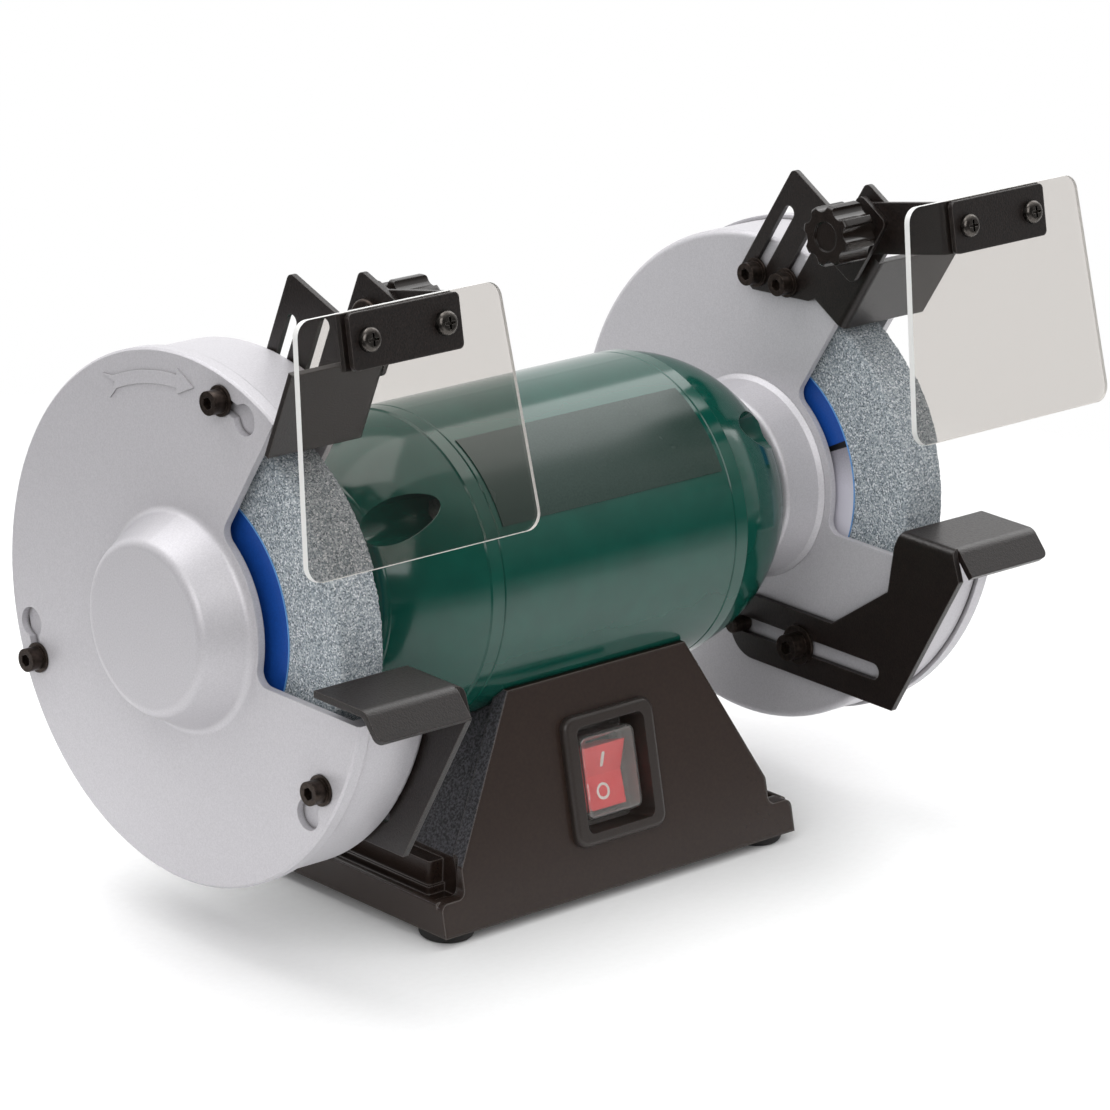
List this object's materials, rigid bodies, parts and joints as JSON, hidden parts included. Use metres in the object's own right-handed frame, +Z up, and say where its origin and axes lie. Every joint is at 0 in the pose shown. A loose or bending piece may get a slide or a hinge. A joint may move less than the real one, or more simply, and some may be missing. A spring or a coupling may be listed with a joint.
{
  "type": "bench grinder",
  "caption": "Double-ended bench grinder: motor on a switch base, guarded grinding wheels, sliding tool rests and spark arresters, and swinging clear eye shields.",
  "frame": {"origin": "on the bench, under the middle of the shaft, level with the bottom of the feet", "axes": "+X along the shaft to the user's right, +Y away from the user, +Z up"},
  "size_m": [0.3876, 0.209, 0.2525],
  "materials": {
    "base_black": "satin",
    "plate_steel": "plain zinc",
    "foot_rubber": "matt",
    "black_plastic": "fine grain",
    "red_plastic": "gloss",
    "clear_plastic": "clear",
    "grey_plastic": "matt",
    "capacitor_can": "satin",
    "motor_green": "gloss",
    "label_grey": "satin",
    "core_steel": "laminated",
    "winding_copper": "varnished copper",
    "machined_steel": "turned",
    "bearing_steel": "ground",
    "black_steel": "satin",
    "black_oxide": "black oxide",
    "guard_silver": "silver paint",
    "wheel_stone": "bonded grit",
    "bell_green": "gloss paint",
    "label_paper": "printed card",
    "shield_clear": "clear",
    "zinc_screw": "zinc"
  },
  "bodies": {
    "frame": {"base_housing": "base_black", "base_plate": "plate_steel", "capacitor_clip": "plate_steel", "rubber_feet": "foot_rubber", "switch_bezel": "black_plastic", "switch_body": "black_plastic", "cable_gland": "black_plastic", "cable_gland_nut": "black_plastic", "switch_hood": "clear_plastic", "terminal_block": "grey_plastic", "run_capacitor": "capacitor_can", "motor_shell": "motor_green", "left_end_bell": "bell_green", "right_end_bell": "bell_green", "motor_nameplate": "label_grey", "stator_core": "core_steel", "stator_windings": "winding_copper", "bearing_outer_rings": "bearing_steel", "wave_washers": "bearing_steel", "cover_screws": "black_oxide", "guard_screws": "black_oxide", "arrester_screws": "black_oxide", "rest_bolts": "black_oxide", "guard_collars": "guard_silver", "left_inner_guard": "guard_silver", "right_inner_guard": "guard_silver", "left_outer_cover": "guard_silver", "right_outer_cover": "guard_silver", "base_plate_screws": "zinc_screw", "motor_base_bolts": "zinc_screw", "tie_bolts": "zinc_screw"},
    "rotor": {"shaft": "machined_steel", "rotor_core": "core_steel", "bearing_inner_rings": "bearing_steel", "inner_flanges": "machined_steel", "outer_flanges": "machined_steel", "wheel_nuts": "machined_steel", "wheel_labels": "label_paper", "left_wheel": "wheel_stone", "right_wheel": "wheel_stone"},
    "bearing_ball_sets": {"bearing_balls": "bearing_steel"},
    "rocker": {"switch_rocker": "red_plastic"},
    "left_rest": {"left_tool_rest": "black_steel"},
    "left_arrester": {"left_spark_arrester": "black_steel", "left_pressure_plate": "black_steel", "left_clamp_bolt": "black_oxide"},
    "left_shield": {"left_shield_arm": "black_steel", "left_eye_shield": "shield_clear", "left_shield_clamp": "black_steel", "left_shield_screws": "zinc_screw"},
    "left_knob": {"left_clamp_knob": "black_plastic"},
    "right_rest": {"right_tool_rest": "black_steel"},
    "right_arrester": {"right_spark_arrester": "black_steel", "right_pressure_plate": "black_steel", "right_clamp_bolt": "black_oxide"},
    "right_shield": {"right_shield_arm": "black_steel", "right_eye_shield": "shield_clear", "right_shield_clamp": "black_steel", "right_shield_screws": "zinc_screw"},
    "right_knob": {"right_clamp_knob": "black_plastic"}
  },
  "joints": [
    {"name": "rotor_spin", "type": "hinge", "parent": "frame", "child": "rotor", "pos_m": [0, 0, 0.119], "axis": [1, 0, 0], "continuous": true},
    {"name": "ball_orbit", "type": "hinge", "parent": "frame", "child": "bearing_ball_sets", "pos_m": [0, 0, 0.119], "axis": [1, 0, 0], "continuous": true},
    {"name": "rocker_tip", "type": "hinge", "parent": "frame", "child": "rocker", "pos_m": [0, -0.04187, 0.04075], "axis": [1, 0, 0], "range_deg": [-16, 0]},
    {"name": "left_rest_slide", "type": "slide", "parent": "frame", "child": "left_rest", "axis": [0, 1, 0], "range_m": [0, 0.0035]},
    {"name": "left_arrester_slide", "type": "slide", "parent": "frame", "child": "left_arrester", "axis": [0, 0.342, -0.9397], "range_m": [0, 0.0115]},
    {"name": "left_shield_swing", "type": "hinge", "parent": "left_arrester", "child": "left_shield", "pos_m": [-0.119, -0.05605, 0.23404], "axis": [1, 0, 0], "range_deg": [-80, 12]},
    {"name": "left_knob_turn", "type": "hinge", "parent": "left_arrester", "child": "left_knob", "pos_m": [-0.119, -0.05605, 0.23404], "axis": [1, 0, 0], "continuous": true},
    {"name": "right_rest_slide", "type": "slide", "parent": "frame", "child": "right_rest", "axis": [0, 1, 0], "range_m": [0, 0.0035]},
    {"name": "right_arrester_slide", "type": "slide", "parent": "frame", "child": "right_arrester", "axis": [0, 0.5, -0.866], "range_m": [0, 0.0045]},
    {"name": "right_shield_swing", "type": "hinge", "parent": "right_arrester", "child": "right_shield", "pos_m": [0.119, -0.05572, 0.22798], "axis": [1, 0, 0], "range_deg": [-80, 12]},
    {"name": "right_knob_turn", "type": "hinge", "parent": "right_arrester", "child": "right_knob", "pos_m": [0.119, -0.05572, 0.22798], "axis": [1, 0, 0], "continuous": true}
  ],
  "couplings": [
    {"joint": "ball_orbit", "follows": "rotor_spin", "ratio": 0.3807}
  ]
}
